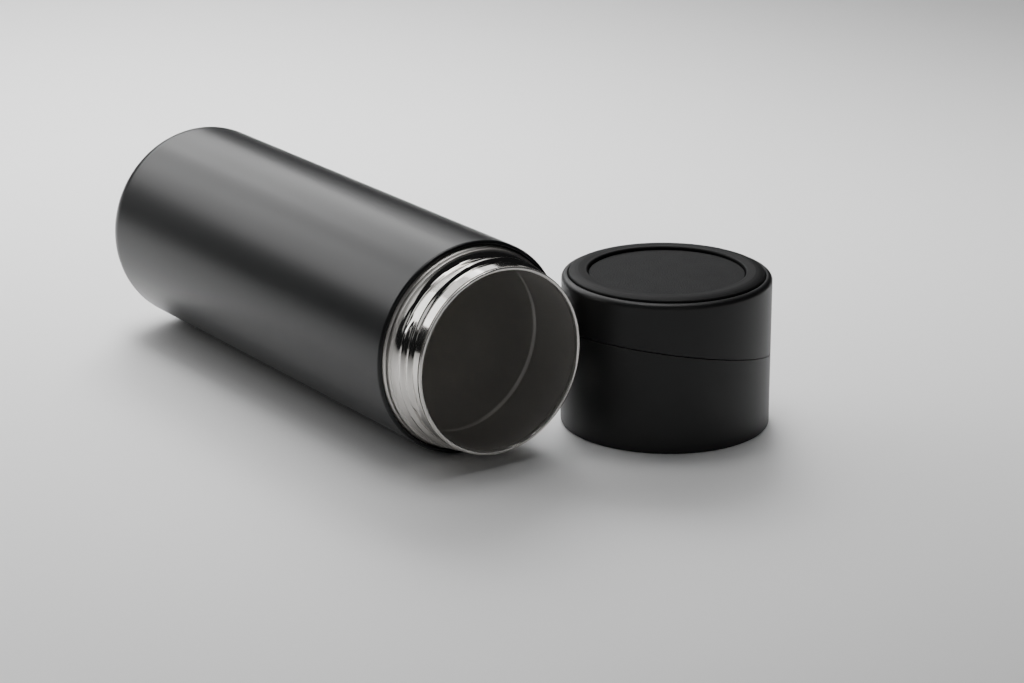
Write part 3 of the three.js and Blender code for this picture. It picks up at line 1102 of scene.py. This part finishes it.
fitted(
    turned(
        "push_button",
        [
            (0.0, 33.55),
            (3.0, 33.6),
            (6.0, 33.75),
            (8.4, 33.95),
            (9.0, 34.0),
            *arc(10.6, 32.6, 1.4, 90, 0, 8),
            (12.0, 24.8),
            (11.9, 24.7),
            (10.9, 24.7),
            (10.8, 24.8),
            (10.8, 31.3),
            (0.0, 31.3),
        ],
        cap_spot,
        192,
    ),
    black_plastic,
    "button",
    "push_button",
)
fitted(
    turned(
        "valve_stem",
        [
            (0.0, 5.1),
            *rounded(
                [
                    (0.0, 5.1),
                    (3.0, 5.1, 0.2),
                    (3.0, 29.8, 0.4),
                    (9.7, 29.8, 0.2),
                    (9.7, 31.0, 0.2),
                ]
            )[1:],
            (0.0, 31.0),
        ],
        cap_spot,
        128,
    ),
    black_plastic,
    "button",
    "valve_stem",
)
fitted(
    turned(
        "valve_seal",
        rounded([(3.3, 5.1, 0.1), (9.4, 5.1, 0.5), (9.4, 6.7, 0.2), (3.3, 6.7, 0.1)]),
        cap_spot,
        128,
    ),
    silicone,
    "button",
    "valve_seal",
)

# ---- Cap shells ----
# The cap's skin is coated steel in two parts, cut on a slant: the collar below stays with the
# stopper, and the lid above lifts off as a cup. Both edges of the seam are softly broken.

cap_radius, collar_inner, lid_inner = 34.3, 33.1, 33.3
seam_height, seam_gap = 27.6, 0.18
seam_tilt, seam_side = math.radians(12.3), math.radians(-73.5)
seam_slope = math.tan(seam_tilt)
seam_half = seam_gap / 2 / math.cos(seam_tilt)


def seam(radius, angle, side):
    """The seam's edge on a wall of that radius: side is 1 above the seam and -1 below it."""
    slant = radius * seam_slope * math.cos(angle - seam_side)
    return seam_height + slant + side * seam_half


def cap_coat(net):
    grain = noise(net, place(net), 2600.0, 3.0)
    return {
        "Roughness": 0.40 + 0.06 * grain,
        "Normal": bump(net, grain, 0.000014, 0.6),
    }


cap_black = finish(
    "black_cap_coat",
    {"Base Color": (0.0060, 0.0060, 0.0063, 1), "IOR": 1.45},
    cap_coat,
)


def collar_outline(angle):
    outer, inner = seam(cap_radius, angle, -1), seam(collar_inner, angle, -1)
    return rounded(
        [
            (collar_inner, 0.0, 0.2),
            (cap_radius, 0.0, 0.55),
            (cap_radius, outer, 0.14),
            (collar_inner, inner, 0.1),
        ]
    )


fitted(
    turned("collar_shell", collar_outline, cap_spot, 288),
    cap_black,
    "stopper",
    "collar_shell",
)


def lid_outline(angle):
    outer, inner = seam(cap_radius, angle, 1), seam(lid_inner, angle, 1)
    wall_top, shoulder = 46.0, 1.7
    edge = rounded([(lid_inner, inner, 0.1), (cap_radius, outer, 0.14), (cap_radius, wall_top)])
    return [
        *edge[:-1],
        *arc(cap_radius - shoulder, 50.0 - shoulder, shoulder, 0, 90, 12),
        *arc(32.45, 49.85, 0.15, 90, 180, 4),
        (32.3, 47.3),
        (0.0, 47.3),
        (0.0, wall_top),
        (33.2, wall_top),
        (lid_inner, 45.9),
    ]


fitted(
    turned("lid_shell", lid_outline, cap_spot, 288),
    cap_black,
    "lid",
    "lid_shell",
)


def liner_outline(angle):
    wide, narrow, back, ceiling, top = 33.0, 32.2, 0.2, 42.5, 43.7
    outer, inner = seam(wide, angle, 1) + back, seam(narrow, angle, 1) + back
    edge = rounded([(narrow, inner, 0.1), (wide, outer, 0.1), (wide, top)])
    return [
        *edge[:-1],
        *arc(32.7, 43.4, 0.3, 0, 90, 3),
        (0.0, top),
        (0.0, ceiling),
        *arc(31.2, 41.5, 1.0, 90, 0, 6),
    ]


fitted(
    turned("lid_liner", liner_outline, cap_spot, 288),
    black_plastic,
    "lid",
    "lid_liner",
)

# ---- Lid top ----
# A crowned plastic ring is pressed into the lid's recess, with a finely textured rubber disc
# inside it. Narrow gaps separate the disc, the ring and the steel rim.


def ring_grain(net):
    grain = noise(net, place(net), 2400.0, 2.0)
    return {
        "Roughness": 0.50 + 0.08 * grain,
        "Normal": bump(net, grain, 0.000016, 0.5),
    }


ring_plastic = finish(
    "top_ring_plastic",
    {"Base Color": (0.0065, 0.0065, 0.0068, 1), "Specular IOR Level": 0.16},
    ring_grain,
)
recess_floor = 47.6
ring_inner, ring_outer, disc_radius = 25.7, 32.0, 25.4
fitted(
    turned(
        "top_ring",
        [
            (ring_inner, recess_floor),
            (ring_outer, recess_floor),
            (ring_outer, 49.7),
            *arc(31.3, 50.1, 0.7, 0, 60, 5),
            (30.8, 51.05),
            (29.9, 51.28),
            (28.85, 51.4),
            (27.9, 51.36),
            (27.0, 51.26),
            *arc(26.35, 50.6, 0.65, 85, 180, 8),
        ],
        cap_spot,
        288,
    ),
    ring_plastic,
    "lid",
    "top_ring",
)


def disc_texture(net):
    cells = net.node(
        "ShaderNodeTexVoronoi", None, {"Vector": place(net), "Scale": 1700.0}
    )
    clouds = noise(net, place(net), 120.0, 3.0)
    return {
        "Roughness": 0.50 + 0.08 * clouds,
        "Normal": bump(net, cells, 0.0001, 0.8),
    }


disc_rubber = finish(
    "textured_disc",
    {"Base Color": (0.0085, 0.0085, 0.0088, 1), "Specular IOR Level": 0.12},
    disc_texture,
)
fitted(
    turned(
        "top_disc",
        [
            (0.0, recess_floor),
            (disc_radius, recess_floor),
            *arc(disc_radius - 0.3, 49.9, 0.3, 0, 90, 4),
            (0.0, 50.2),
        ],
        cap_spot,
        288,
    ),
    disc_rubber,
    "lid",
    "top_disc",
)
